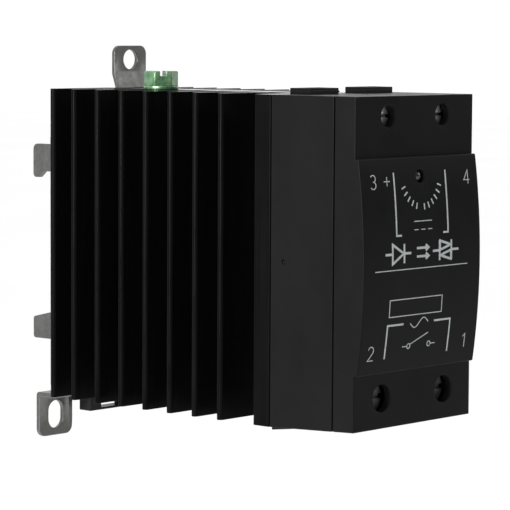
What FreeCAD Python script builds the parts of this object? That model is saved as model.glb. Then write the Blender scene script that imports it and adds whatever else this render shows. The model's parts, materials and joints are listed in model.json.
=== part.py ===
import FreeCAD, Part
import math
import os
from FreeCAD import Vector

# Solid state relay on a finned heat sink, with a bracket for a 35 mm DIN rail or a panel.
# X runs to the right seen from the front, Y to the back, Z up, all in millimetres.
# The origin is the centre of the DIN rail, on the rail's front face.

# ---- overall sizes ----
WIDTH = 45.0
SINK_HEIGHT = 80.0
RAIL_CENTRE_HEIGHT = 40.4      # rail centre above the bottom of the heat sink
RAIL_STANDOFF = 2.8            # rail front face behind the rear of the heat sink

# ---- heat sink ----
FIN_COUNT = 8
FIN_THICKNESS = 1.8
FIRST_FIN_PITCH = 7.6          # rear fin to the next one
FIN_PITCH = 8.475
SINK_DEPTH = 75.95             # rear fin to the front of the plate
PLATE_THICKNESS = 5.2
WEB_REAR_WIDTH = 6.0
WEB_FRONT_WIDTH = 9.0
EDGE_ROUND = 0.4
PLATE_SCREW_DEPTH = 9.0        # tapped holes for the power stage, into the rib

# ---- relay body, measured forward from the front of the heat sink plate ----
HOUSING_DEPTH = 19.6
HOUSING_ROUND = 0.6            # upright edges against the plate
SEAM_GAP = 0.3
COVER_FRONT = 26.25
COVER_RISE = 1.15              # the underside rises by this much towards the front
WALL = 1.5
FRONT_WALL = 2.0
NOSE_BOTTOM = 14.5             # heights above the bottom of the heat sink
NOSE_TOP = 65.5
NOSE_STEP = 1.0
NOSE_CROWN = 1.9
FLOOR_HEIGHT = 2.7
LOWER_PARTITION = 15.2
UPPER_PARTITION = 63.6
PARTITION = 1.2
DECK_BACK = 17.4
RIB_HALF = 0.8                 # upright rib between two neighbouring terminals
INNER_BACK = 1.0               # where ribs and partitions start, clear of the plate
LEDGE_WIDTH = 1.8              # corner ledges that the board rests on
LEDGE_DEPTH = 1.4
LEDGE_HEIGHT = 4.0
LIP = 1.0                      # tongues of the cover inside the housing's sides
LIP_GAP = 0.15
LIP_ROOT = 2.0                 # how far a tongue reaches into the cover
LIP_HEIGHTS = (LOWER_PARTITION + 3.0, UPPER_PARTITION - 2.0)
PIN_MARK_DEPTH = 4.2           # small round pin mark in the left side
PIN_MARK_HEIGHT = 40.2
PIN_MARK_RADIUS = 0.6
PIN_MARK_SINK = 0.8
FIT = 0.1                      # clearance or overlap where two shapes meet

# ---- sheet steel bracket, measured back from the rear of the heat sink ----
SHEET = 1.2
BRACKET_HALF_WIDTH = 21.0
BRACKET_DEPTH = 7.5
BRACKET_BOTTOM = 3.0
BRACKET_TOP = 67.5
EAR_INNER = 8.0
EAR_OUTER = 20.0
EAR_HOLE_X = 14.0
EAR_HOLE_RADIUS = 2.65
EAR_ROUND = 2.2
TOP_EAR_TOP = 90.9
TOP_EAR_BEND = 84.2            # where the slanted neck meets the upright flag
EAR_ROOT = 64.5                # where the slanted neck leaves the sheet
EAR_ROOT_FRONT = 1.2           # the slant's two faces start and end at these offsets
EAR_ROOT_REAR = 0.9
EAR_BEND_FRONT = 0.5
EAR_BEND_REAR = 0.8
TOP_HOLE_HEIGHT = 87.2
LOW_EAR_BOTTOM = -11.5
LOW_EAR_TOP = 0.45
SLOT_HEIGHT = -6.0
SLOT_LENGTH = 7.4
BEND_ROUND = 0.96              # outer round of the low ear's bends
HOOK_TOP = 65.6
HOOK_LIP = 58.5                # underside that rests on the rail's upper edge
HOOK_TIP = 56.9
HOOK_TIP_DEPTH = 2.3           # flat end of the tip
HOOK_SLOPE = 1.9               # slanted run from the tip up to the lip
HOOK_TOP_ROUND = 1.5
HOOK_TIP_ROUND = 1.0
TOOTH_TOP = 22.2
TOOTH_BOTTOM = 14.9
TOOTH_TAPER = 1.75             # drop of its top edge towards the back
TOOTH_ROUND = 0.8
BRACKET_SCREW_HEIGHTS = (37.0, 62.0)
BRACKET_SCREW_RADIUS = 1.5
BRACKET_SCREW_DEPTH = 8.0      # into the heat sink's rib
BRACKET_HOLE_DEPTH = 9.0
BRACKET_HOLE_GAP = 0.15
BRACKET_HEAD_RADIUS = 2.9
BRACKET_HEAD = 1.3
BRACKET_HEAD_SLOT = 0.8
BRACKET_HEAD_SLOT_DEPTH = 0.7

# ---- sliding latch under the rail ----
LATCH_HALF_WIDTH = 8.5
LATCH_BACK = 1.3               # the strip's front, just behind the bracket
LATCH_STRIP = 1.45
LATCH_TOP = 30.0
STRIP_BOTTOM = -1.0
HANDLE_DEPTHS = (-1.05, 3.0)   # the handle reaches under the heat sink
HANDLE_HEIGHTS = (-5.1, -0.4)
PULL_SLOT_HALF = 4.3
PULL_SLOT_HEIGHTS = (-4.5, -3.2)
CATCH_HALF_WIDTH = 6.8
CATCH_BACK = 6.6
CATCH_RIDGE_BACK = 5.2
CATCH_RIDGE_FRONT = 4.0
CATCH_RIDGE_RISE = 2.4         # the ridge behind the rail's lower edge
CATCH_SLOPE_RISE = 0.6
RAIL_GAP = 0.2
WINDOW_HALF = 3.4
WINDOW_GAP = 0.3
GUIDE_HEIGHTS = (5.0, 12.0)
GUIDE_LIP_INNER = 7.0
GUIDE_GAP = 0.15               # sideways room between the strip and its guides
GUIDE_LIP_FRONT = 2.85
GUIDE_BACK = GUIDE_LIP_FRONT + SHEET
SPRING_RADIUS = 1.55
SPRING_WIRE = 0.25
SPRING_TURNS = 7
SPRING_CENTRE = 3.9
SPRING_PEG_RADIUS = 1.0
SPRING_PEG_LENGTH = 2.0
LUG_TOP = 3.0
LUG_HALF_WIDTH = 3.0
LUG_BACK = 6.2
CATCH_BOTTOM = 14.0
RAIL_WIDTH = 35.0
RAIL_EDGE_HEIGHT = RAIL_CENTRE_HEIGHT - RAIL_WIDTH / 2

# ---- ground screw on top of the heat sink ----
GROUND_FROM_REAR = 18.4
GROUND_RADIUS = 2.0
HEX_SIDES = 6
GROUND_HEX = 7.7
GROUND_HEX_TURN = 21.6         # degrees; the slot runs from flat to flat
GROUND_SLOT = 1.6
GROUND_SLOT_DEPTH = 1.3
GROUND_HEAD = 3.8
GROUND_WASHER_RADIUS = 4.5
GROUND_WASHER_THICKNESS = 0.8
GROUND_BOSS_RADIUS = 5.0
GROUND_CROWN = 0.35            # how far the crown's chamfer cuts in at the top
GROUND_WASHER_GAP = 0.1
GROUND_SCREW_END = 68.0
GROUND_HOLE_END = 66.0
RUNNING = 0.05                 # radial clearance of a screw in its thread

# ---- module fasteners and electronics ----
MODULE_SCREW_HEIGHTS = (20.5, 59.5)
MODULE_SCREW_RADIUS = 2.0
MODULE_SCREW_DEPTH = 5.0       # into the heat sink's plate
MODULE_HEAD_RADIUS = 3.5
MODULE_HEAD = 2.4
MODULE_HEAD_SLOT = 1.0
PAD_HOLE_RADIUS = 2.4
BASE_HOLE_RADIUS = 2.2
PAD_THICKNESS = 0.3
BASE_THICKNESS = 3.0
BASE_HALF_WIDTH = 20.3
BASE_BOTTOM = 17.0
BASE_TOP = 63.0
SUBSTRATE_THICKNESS = 0.65
SUBSTRATE_HALF_WIDTH = 18.0
SUBSTRATE_HEIGHTS = (24.5, 55.5)
DIE_THICKNESS = 0.4
DIE_SIZE = 8.5
DIE_X = 8.0
DIE_BOTTOM = 36.0
BOARD_BACK = 11.0
BOARD_THICKNESS = 1.6
BOARD_HALF_WIDTH = 19.9
BOARD_MARGIN = 0.5             # the board is this much shorter than the base plate at each end
BOARD_FACE = BOARD_BACK + BOARD_THICKNESS
COUPLER_SPAN = (-11.2, -4.8)
COUPLER_BOTTOM = 42.0
COUPLER_LENGTH = 8.7
COUPLER_STAND = 0.6            # the body's height above the board
COUPLER_THICKNESS = 3.4
PIN_ROWS = 3
FIRST_PIN = 43.6
PIN_PITCH = 2.54
PIN_WIDTH = 0.6
PIN_REACH = 0.8                # pins beside the body
PIN_TOP = 2.2
CAPACITOR_SPAN = (3.0, 16.0)
CAPACITOR_HEIGHTS = (23.0, 29.0)
CAPACITOR_THICKNESS = 8.0
RESISTOR_HEIGHTS = (33.0, 37.0, 41.0)
RESISTOR_RADIUS = 1.25
RESISTOR_LENGTH = 6.5
RESISTOR_X = 5.0
LED_HEIGHT = 60.8
LED_RADIUS = 1.5
LED_BACK = 23.6
LED_FLANGE = 1.0
LED_FLANGE_RIM = 0.4
LED_DOME = 26.0                # depth of the dome's centre
LEAD_X = 0.9
LEAD_HALF = 0.25

# ---- the two sizes of terminal: input on top, output below ----
# Depths are in front of the plate; heights are above the bottom of the heat sink.
SCREW_SLOT_DEPTH = 1.0
CROSS_SHARE = 0.6              # half length of the cross recess over the head's radius
BAR_END_GAP = 0.3              # a busbar ends this far inside its cage
THREAD_BACK = 0.5              # the thread starts this far behind the cage's nut
INPUT_INSULATOR = 0.6
OUTPUT_INSULATOR = 0.8
INPUT = {
    "x": 10.36, "height": 75.25, "shank": 1.75,
    "head": 3.0, "head_back": 21.9, "head_front": 23.85, "access": 2.6,
    "cage_width": 9.6, "cage_wall": 1.0, "cage_low": 72.4, "cage_high": 78.0,
    "cage_back": 0.7, "cage_back_wall": 0.75, "bar_back": 5.9, "bar_thickness": 1.0,
    "nut_back": 7.3, "nut_thickness": 2.2, "bar_width": 6.6, "bar_end": 58.0, "boss": 2.9,
    "collar_width": 10.6, "collar_back": 0.0, "collar_front": 6.6, "collar_rises": (1.5, 1.5),
    "entry_width": 8.6, "entry_back": 1.0, "entry_front": 5.75, "slot": 0.8,
}
OUTPUT = {
    "x": 11.87, "height": 8.5, "shank": 2.5,
    "head": 3.9, "head_back": 20.25, "head_front": 22.85, "access": 3.3,
    "cage_width": 13.0, "cage_wall": 1.3, "cage_low": 3.0, "cage_high": 14.0,
    "cage_back": 1.0, "cage_back_wall": 1.3, "bar_back": 8.0, "bar_thickness": 1.2,
    "nut_back": 9.7, "nut_thickness": 2.8, "bar_width": 9.0, "bar_end": 26.5, "boss": 4.8,
    "collar_width": 19.4, "collar_back": 0.0, "collar_front": 8.2, "collar_rises": (0.75, -0.3),
    "entry_width": 10.6, "entry_back": 1.4, "entry_front": 7.2, "slot": 1.1,
}
TERMINALS = {1: (OUTPUT, 1), 2: (OUTPUT, -1), 3: (INPUT, -1), 4: (INPUT, 1)}

SINK_REAR_Y = -RAIL_STANDOFF
PLATE_FRONT_Y = SINK_REAR_Y - SINK_DEPTH
HALF_WIDTH = WIDTH / 2


def level(height):
    """Z of a height above the bottom of the heat sink."""
    return height - RAIL_CENTRE_HEIGHT


def ahead(depth):
    """Y of a point this far in front of the heat sink's plate."""
    return PLATE_FRONT_Y - depth


def behind(distance):
    """Y of a point this far behind the heat sink's rear face."""
    return SINK_REAR_Y + distance


def block(x_span, y_span, z_span):
    """A box between two X, two Y and two Z values, given in any order."""
    low = Vector(min(x_span), min(y_span), min(z_span))
    high = Vector(max(x_span), max(y_span), max(z_span))
    size = high - low
    return Part.makeBox(size.x, size.y, size.z, low)


def module_block(x_span, depths, heights):
    """A box given by depths in front of the plate and heights above the bottom."""
    return block(x_span, [ahead(d) for d in depths], [level(h) for h in heights])


def bracket_block(x_span, distances, heights):
    """A box given by distances behind the heat sink and heights above the bottom."""
    return block(x_span, [behind(d) for d in distances], [level(h) for h in heights])


def rod_y(radius, x, height, y_span):
    """A cylinder along Y."""
    start = Vector(x, min(y_span), level(height))
    return Part.makeCylinder(radius, max(y_span) - min(y_span), start, Vector(0, 1, 0))


def module_rod(radius, x, height, depths):
    return rod_y(radius, x, height, [ahead(d) for d in depths])


def rod_z(radius, x, y, heights):
    start = Vector(x, y, level(min(heights)))
    return Part.makeCylinder(radius, max(heights) - min(heights), start)


def joined(shapes):
    """One solid from several touching ones."""
    return shapes[0].fuse(shapes[1:]).removeSplitter()


def without(shape, tools):
    return shape.cut(tools).removeSplitter()


def side_prism(points, x_span):
    """A closed outline of (Y, height) points, extruded along X."""
    corners = [Vector(min(x_span), y, level(h)) for y, h in points]
    face = Part.Face(Part.makePolygon(corners + corners[:1]))
    return face.extrude(Vector(max(x_span) - min(x_span), 0, 0))


def edges_near(shape, direction, spots, tolerance=0.05):
    """Straight edges along a direction whose middle projects on one of the spots."""
    found = []
    for edge in shape.Edges:
        first, last = edge.Vertexes[0].Point, edge.Vertexes[-1].Point
        run = last - first
        if run.Length < tolerance or run.cross(direction).Length > tolerance * run.Length:
            continue
        middle = (first + last) * 0.5
        flat = middle - direction * middle.dot(direction)
        if any((flat - spot).Length < tolerance for spot in spots):
            found.append(edge)
    return found


# ---------------------------------------------------------------- heat sink
def fin_rear_positions():
    """Y of the rear face of each fin, from the back forwards."""
    positions = [SINK_REAR_Y]
    for index in range(FIN_COUNT - 1):
        positions.append(SINK_REAR_Y - FIRST_FIN_PITCH - index * FIN_PITCH)
    return positions


def fin(rear_y):
    """One full-width fin with round tips, running the whole height."""
    radius = FIN_THICKNESS / 2
    heights = (0, SINK_HEIGHT)
    reach = HALF_WIDTH - radius
    flat = block((-reach, reach), (rear_y - FIN_THICKNESS, rear_y), [level(h) for h in heights])
    tips = [rod_z(radius, side * reach, rear_y - radius, heights) for side in (-1, 1)]
    return joined([flat] + tips)


def web():
    """The centre rib between the fins, thicker towards the plate."""
    plate_y = PLATE_FRONT_Y + PLATE_THICKNESS
    outline = [
        (-WEB_REAR_WIDTH / 2, SINK_REAR_Y - FIN_THICKNESS),
        (WEB_REAR_WIDTH / 2, SINK_REAR_Y - FIN_THICKNESS),
        (WEB_FRONT_WIDTH / 2, plate_y),
        (-WEB_FRONT_WIDTH / 2, plate_y),
    ]
    corners = [Vector(x, y, level(0)) for x, y in outline]
    face = Part.Face(Part.makePolygon(corners + corners[:1]))
    return face.extrude(Vector(0, 0, SINK_HEIGHT))


def heat_sink():
    plate = module_block((-HALF_WIDTH, HALF_WIDTH), (-PLATE_THICKNESS, 0), (0, SINK_HEIGHT))
    spots = [
        Vector(side * HALF_WIDTH, ahead(depth), 0) for side in (-1, 1) for depth in (-PLATE_THICKNESS, 0)
    ]
    plate = plate.makeFillet(EDGE_ROUND, edges_near(plate, Vector(0, 0, 1), spots))
    boss = rod_z(GROUND_BOSS_RADIUS, 0, behind(-GROUND_FROM_REAR), (0, SINK_HEIGHT))
    sink = joined([plate, web(), boss] + [fin(y) for y in fin_rear_positions()])
    ground_heights = (GROUND_HOLE_END, SINK_HEIGHT + FIT)
    holes = [rod_z(GROUND_RADIUS + RUNNING, 0, behind(-GROUND_FROM_REAR), ground_heights)]
    for height in BRACKET_SCREW_HEIGHTS:
        holes.append(rod_y(BRACKET_SCREW_RADIUS, 0, height, (behind(-BRACKET_HOLE_DEPTH), behind(FIT))))
    for height in MODULE_SCREW_HEIGHTS:
        holes.append(module_rod(MODULE_SCREW_RADIUS, 0, height, (-PLATE_SCREW_DEPTH, FIT)))
    return without(sink, holes)


# ---------------------------------------------------------------- bracket
def cross_edges(shape, corners):
    """Edges along X at some (distance behind the heat sink, height) corners."""
    return edges_near(shape, Vector(1, 0, 0), [Vector(0, behind(d), level(h)) for d, h in corners])


def hook_tab(side):
    """Downward hook over the top edge of the rail, bent back from the side of the sheet."""
    back = BRACKET_DEPTH
    tip = back - HOOK_TIP_DEPTH
    outline = [
        (0, HOOK_TOP), (back, HOOK_TOP), (back, HOOK_TIP),
        (tip, HOOK_TIP), (tip - HOOK_SLOPE, HOOK_LIP), (0, HOOK_LIP),
    ]
    faces = (side * BRACKET_HALF_WIDTH, side * (BRACKET_HALF_WIDTH - SHEET))
    tab = side_prism([(behind(d), h) for d, h in outline], faces)
    tab = tab.makeFillet(HOOK_TOP_ROUND, cross_edges(tab, [(back, HOOK_TOP)]))
    return tab.makeFillet(HOOK_TIP_ROUND, cross_edges(tab, [(back, HOOK_TIP)]))


def tooth_tab(side):
    """Tapered tab below the rail's lower edge."""
    back = BRACKET_DEPTH
    low_corner, high_corner = (back, TOOTH_BOTTOM), (back, TOOTH_TOP - TOOTH_TAPER)
    outline = [(0, TOOTH_TOP), high_corner, low_corner, (0, TOOTH_BOTTOM)]
    faces = (side * BRACKET_HALF_WIDTH, side * (BRACKET_HALF_WIDTH - SHEET))
    tab = side_prism([(behind(d), h) for d, h in outline], faces)
    return tab.makeFillet(TOOTH_ROUND, cross_edges(tab, [low_corner, high_corner]))


def top_ear():
    """Panel ear at the upper right, set back from the sheet by a slanted bend."""
    span = (EAR_INNER, EAR_OUTER)
    back = BRACKET_DEPTH
    flat = TOP_EAR_BEND - EAR_BEND_REAR
    front = back - SHEET
    slant = [
        (0, EAR_ROOT), (SHEET, EAR_ROOT), (SHEET, EAR_ROOT + EAR_ROOT_REAR), (back, flat), (back, TOP_EAR_BEND),
        (front, TOP_EAR_BEND), (front, TOP_EAR_BEND - EAR_BEND_FRONT), (0, EAR_ROOT + EAR_ROOT_FRONT),
    ]
    neck = side_prism([(behind(d), h) for d, h in slant], span)
    flag = bracket_block(span, (front, back), (TOP_EAR_BEND - FIT, TOP_EAR_TOP))
    spots = [Vector(x, 0, level(TOP_EAR_TOP)) for x in span]
    flag = flag.makeFillet(EAR_ROUND, edges_near(flag, Vector(0, 1, 0), spots))
    hole = rod_y(EAR_HOLE_RADIUS, EAR_HOLE_X, TOP_HOLE_HEIGHT, (behind(0), behind(back + SHEET)))
    return without(joined([neck, flag]), [hole])


def low_ear():
    """Panel ear at the lower left, set back by a level shelf, with an upright slot."""
    back = BRACKET_DEPTH
    span = (-EAR_OUTER, -EAR_INNER)
    neck_span = (-EAR_OUTER, -EAR_INNER - SHEET)
    neck = bracket_block(neck_span, (0, SHEET), (LOW_EAR_TOP - SHEET, BRACKET_BOTTOM))
    shelf = bracket_block(neck_span, (0, back), (LOW_EAR_TOP - SHEET, LOW_EAR_TOP))
    flag = bracket_block(span, (back - SHEET, back), (LOW_EAR_BOTTOM, LOW_EAR_TOP))
    spots = [Vector(x, 0, level(LOW_EAR_BOTTOM)) for x in span]
    flag = flag.makeFillet(EAR_ROUND, edges_near(flag, Vector(0, 1, 0), spots))
    half = SLOT_LENGTH / 2 - EAR_HOLE_RADIUS
    y_span = (behind(back - 2 * SHEET), behind(back + SHEET))
    ends = [rod_y(EAR_HOLE_RADIUS, -EAR_HOLE_X, SLOT_HEIGHT + s * half, y_span) for s in (-1, 1)]
    sides = (-EAR_HOLE_X - EAR_HOLE_RADIUS, -EAR_HOLE_X + EAR_HOLE_RADIUS)
    middle = block(sides, y_span, (level(SLOT_HEIGHT - half), level(SLOT_HEIGHT + half)))
    ear = without(joined([neck, shelf, flag]), ends + [middle])
    return ear.makeFillet(BEND_ROUND, cross_edges(ear, [(0, LOW_EAR_TOP - SHEET), (back, LOW_EAR_TOP)]))


def latch_guide(side):
    """Bent lip that holds one edge of the sliding latch against the sheet."""
    inner = side * (LATCH_HALF_WIDTH + GUIDE_GAP)
    outer = inner + side * SHEET
    wall = bracket_block((inner, outer), (SHEET, GUIDE_BACK), GUIDE_HEIGHTS)
    lip = bracket_block((side * GUIDE_LIP_INNER, outer), (GUIDE_LIP_FRONT, GUIDE_BACK), GUIDE_HEIGHTS)
    return joined([wall, lip])


def mounting_bracket():
    """Bent sheet with two hooks, two teeth, two panel ears, a spring lug and the latch's guides."""
    width = (-BRACKET_HALF_WIDTH, BRACKET_HALF_WIDTH)
    sheet = bracket_block(width, (0, SHEET), (BRACKET_BOTTOM, BRACKET_TOP))
    lug = bracket_block((-LUG_HALF_WIDTH, LUG_HALF_WIDTH), (0, LUG_BACK), (LUG_TOP - SHEET, LUG_TOP))
    pieces = [sheet, lug, top_ear(), low_ear()]
    for side in (-1, 1):
        pieces += [hook_tab(side), tooth_tab(side), latch_guide(side)]
    body = joined(pieces)
    radius = BRACKET_SCREW_RADIUS + BRACKET_HOLE_GAP
    holes = [rod_y(radius, 0, h, (behind(-FIT), behind(SHEET + FIT))) for h in BRACKET_SCREW_HEIGHTS]
    return without(body, holes)


def bracket_screws():
    """Low-head screws that hold the bracket to the heat sink's rib."""
    screws = []
    for height in BRACKET_SCREW_HEIGHTS:
        shank = rod_y(BRACKET_SCREW_RADIUS, 0, height, (behind(-BRACKET_SCREW_DEPTH), behind(SHEET)))
        top = SHEET + BRACKET_HEAD
        head = rod_y(BRACKET_HEAD_RADIUS, 0, height, (behind(SHEET), behind(top)))
        half = BRACKET_HEAD_SLOT / 2
        reach = BRACKET_HEAD_RADIUS + FIT
        slot_distances = (top - BRACKET_HEAD_SLOT_DEPTH, top + FIT)
        slot = bracket_block((-reach, reach), slot_distances, (height - half, height + half))
        screws.append(without(joined([shank, head]), [slot]))
    return Part.makeCompound(screws)


# ---------------------------------------------------------------- latch and spring
def din_latch():
    """Sliding latch: a strip behind the bracket, a catch under the rail and a pull handle."""
    half = LATCH_HALF_WIDTH
    back = LATCH_BACK + LATCH_STRIP
    strip = bracket_block((-half, half), (LATCH_BACK, back), (STRIP_BOTTOM, LATCH_TOP))
    handle = bracket_block((-half, half), HANDLE_DEPTHS, HANDLE_HEIGHTS)
    top = RAIL_EDGE_HEIGHT - RAIL_GAP
    ridge = top + CATCH_RIDGE_RISE
    catch_outline = [
        (LATCH_BACK, CATCH_BOTTOM), (CATCH_BACK, CATCH_BOTTOM), (CATCH_BACK, top + CATCH_SLOPE_RISE),
        (CATCH_RIDGE_BACK, ridge), (CATCH_RIDGE_FRONT, ridge), (CATCH_RIDGE_FRONT, top), (LATCH_BACK, top),
    ]
    catch = side_prism([(behind(d), h) for d, h in catch_outline], (-CATCH_HALF_WIDTH, CATCH_HALF_WIDTH))
    peg_bottom = CATCH_BOTTOM - SPRING_PEG_LENGTH
    peg = rod_z(SPRING_PEG_RADIUS, 0, behind(SPRING_CENTRE), (peg_bottom, CATCH_BOTTOM))
    body = joined([strip, handle, catch, peg])
    window_bottom = LUG_TOP - SHEET - WINDOW_GAP
    window = bracket_block((-WINDOW_HALF, WINDOW_HALF), (0, back + FIT), (window_bottom, CATCH_BOTTOM))
    through = (HANDLE_DEPTHS[0] - FIT, HANDLE_DEPTHS[1] + FIT)
    pull_slot = bracket_block((-PULL_SLOT_HALF, PULL_SLOT_HALF), through, PULL_SLOT_HEIGHTS)
    return without(body, [window, pull_slot])


def latch_spring():
    """Compression spring between the bracket's lug and the underside of the catch."""
    length = CATCH_BOTTOM - LUG_TOP - 2 * SPRING_WIRE
    pitch = length / SPRING_TURNS
    helix = Part.makeHelix(pitch, length, SPRING_RADIUS)
    start = Vector(SPRING_RADIUS, 0, 0)
    tangent = Vector(0, 2 * math.pi * SPRING_RADIUS, pitch)
    ring = Part.Wire([Part.Circle(start, tangent, SPRING_WIRE).toShape()])
    coil = Part.Wire(helix.Edges).makePipeShell([ring], True, True)
    coil.translate(Vector(0, behind(SPRING_CENTRE), level(LUG_TOP + SPRING_WIRE)))
    return coil


# ---------------------------------------------------------------- ground screw
def hexagon(across_flats, base, height, turn):
    """An upright hexagonal prism on a base point, turned by some degrees."""
    reach = across_flats / math.sqrt(3)
    corners = []
    for index in range(HEX_SIDES + 1):
        angle = math.radians(360 / HEX_SIDES * index + turn)
        corners.append(base + Vector(reach * math.cos(angle), reach * math.sin(angle), 0))
    return Part.Face(Part.makePolygon(corners)).extrude(Vector(0, 0, height))


def ground_screw():
    """Slotted hexagon-head ground screw with its crown chamfered."""
    seat = SINK_HEIGHT + GROUND_WASHER_THICKNESS
    centre = Vector(0, behind(-GROUND_FROM_REAR), level(seat))
    head = hexagon(GROUND_HEX, centre, GROUND_HEAD, GROUND_HEX_TURN)
    corner = GROUND_HEX / math.sqrt(3)
    crown = Part.makeCone(corner + GROUND_HEAD, corner - GROUND_CROWN, GROUND_HEAD, centre)
    head = head.common(crown)
    half = GROUND_SLOT / 2
    floor = centre.z + GROUND_HEAD - GROUND_SLOT_DEPTH
    slot = block((-GROUND_HEX, GROUND_HEX), (centre.y - half, centre.y + half), (floor, floor + GROUND_HEAD))
    slot.rotate(centre, Vector(0, 0, 1), GROUND_HEX_TURN + 180 / HEX_SIDES)
    shank = rod_z(GROUND_RADIUS, 0, centre.y, (GROUND_SCREW_END, seat))
    return without(joined([head, shank]), [slot])


def ground_washer():
    centre_y = behind(-GROUND_FROM_REAR)
    heights = (SINK_HEIGHT, SINK_HEIGHT + GROUND_WASHER_THICKNESS)
    disc = rod_z(GROUND_WASHER_RADIUS, 0, centre_y, heights)
    return without(disc, [rod_z(GROUND_RADIUS + GROUND_WASHER_GAP, 0, centre_y, heights)])


# ---------------------------------------------------------------- relay housing and cover
def underside(depth):
    """Height of the body's underside, which rises towards the front."""
    return COVER_RISE * depth / COVER_FRONT


def body_prism(depths):
    """The relay body's outer block between two depths."""
    back, front = min(depths), max(depths)
    outline = [(back, underside(back)), (back, SINK_HEIGHT), (front, SINK_HEIGHT), (front, underside(front))]
    return side_prism([(ahead(d), h) for d, h in outline], (-HALF_WIDTH, HALF_WIDTH))


def chamber_heights(kind):
    """Lowest and highest inside heights of the terminal chamber."""
    if kind is OUTPUT:
        return (FLOOR_HEIGHT, LOWER_PARTITION)
    return (UPPER_PARTITION + PARTITION, SINK_HEIGHT - WALL)


def terminal_deck(kind):
    """Shelf that holds the screws of one row, with a raised ring round each screw."""
    inside = HALF_WIDTH - WALL
    deck = module_block((-inside, inside), (DECK_BACK, HOUSING_DEPTH), chamber_heights(kind))
    rib = module_block((-RIB_HALF, RIB_HALF), (INNER_BACK, HOUSING_DEPTH), chamber_heights(kind))
    ring_depths = (DECK_BACK, kind["head_back"])
    rings = [module_rod(kind["boss"], s * kind["x"], kind["height"], ring_depths) for s in (-1, 1)]
    bore = kind["shank"] + RUNNING
    depths = (DECK_BACK - FIT, kind["head_back"] + FIT)
    holes = [module_rod(bore, s * kind["x"], kind["height"], depths) for s in (-1, 1)]
    return without(joined([deck, rib] + rings), holes)


def wire_collars(kind):
    """Raised rims round the two wire entries of one row."""
    rear_rise, front_rise = kind["collar_rises"]
    outward = (SINK_HEIGHT + rear_rise, SINK_HEIGHT + front_rise)
    inward = SINK_HEIGHT - WALL
    if kind is OUTPUT:
        outward = (-rear_rise, -front_rise)
        inward = FLOOR_HEIGHT
    rear, front = ahead(kind["collar_back"]), ahead(kind["collar_front"])
    outline = [(rear, inward), (rear, outward[0]), (front, outward[1]), (front, inward)]
    half = kind["collar_width"] / 2
    rims = []
    for side in (-1, 1):
        span = (side * kind["x"] - half, side * kind["x"] + half)
        rims.append(side_prism(outline, span))
    return rims


def wire_entries(kind):
    """Openings for the wires, through the rims and the outer wall."""
    rise = max(kind["collar_rises"]) + FIT
    heights = (SINK_HEIGHT - WALL - FIT, SINK_HEIGHT + rise)
    if kind is OUTPUT:
        heights = (-rise, FLOOR_HEIGHT + FIT)
    half = kind["entry_width"] / 2
    depths = (kind["entry_back"], kind["entry_front"])
    return [module_block((s * kind["x"] - half, s * kind["x"] + half), depths, heights) for s in (-1, 1)]


def relay_housing():
    """Open box behind the seam, with decks, partitions, board ledges and wire entries."""
    inside = HALF_WIDTH - WALL
    outer = body_prism((0, HOUSING_DEPTH))
    spots = [Vector(side * HALF_WIDTH, ahead(0), 0) for side in (-1, 1)]
    outer = outer.makeFillet(HOUSING_ROUND, edges_near(outer, Vector(0, 0, 1), spots))
    hollow = module_block((-inside, inside), (-FIT, HOUSING_DEPTH + FIT), (FLOOR_HEIGHT, SINK_HEIGHT - WALL))
    shell = without(outer, [hollow])
    pieces = [shell, terminal_deck(INPUT), terminal_deck(OUTPUT)]
    for low in (LOWER_PARTITION, UPPER_PARTITION):
        pieces.append(module_block((-inside, inside), (INNER_BACK, HOUSING_DEPTH), (low, low + PARTITION)))
    for side in (-1, 1):
        for low in (BASE_BOTTOM, BASE_TOP - LEDGE_HEIGHT):
            ledge = (side * (inside - LEDGE_WIDTH), side * inside)
            depths = (BOARD_BACK - LEDGE_DEPTH, BOARD_BACK)
            pieces.append(module_block(ledge, depths, (low, low + LEDGE_HEIGHT)))
    pieces += wire_collars(INPUT) + wire_collars(OUTPUT)
    body = joined(pieces)
    cuts = wire_entries(INPUT) + wire_entries(OUTPUT)
    mark = Vector(-HALF_WIDTH, ahead(PIN_MARK_DEPTH), level(PIN_MARK_HEIGHT))
    cuts.append(Part.makeCylinder(PIN_MARK_RADIUS, PIN_MARK_SINK, mark, Vector(1, 0, 0)))
    for kind, side in TERMINALS.values():
        half = kind["bar_width"] / 2
        span = (side * kind["x"] - half, side * kind["x"] + half)
        depths = (kind["bar_back"], kind["bar_back"] + kind["bar_thickness"])
        low = LOWER_PARTITION if kind is OUTPUT else UPPER_PARTITION
        cuts.append(module_block(span, depths, (low - FIT, low + PARTITION + FIT)))
    return without(body, cuts)


def crowned_prism(rear, low, high, step, crown, x_span):
    """A block whose front bulges as one shallow arc between two heights."""
    middle = (low + high) / 2
    x = min(x_span)
    arc = Part.Arc(
        Vector(x, ahead(step), level(low)),
        Vector(x, ahead(step + crown), level(middle)),
        Vector(x, ahead(step), level(high)),
    )
    corners = [(step, high), (rear, high), (rear, low), (step, low)]
    path = Part.makePolygon([Vector(x, ahead(d), level(h)) for d, h in corners])
    face = Part.Face(Part.Wire([arc.toShape()] + path.Edges))
    return face.extrude(Vector(max(x_span) - x, 0, 0))


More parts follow.
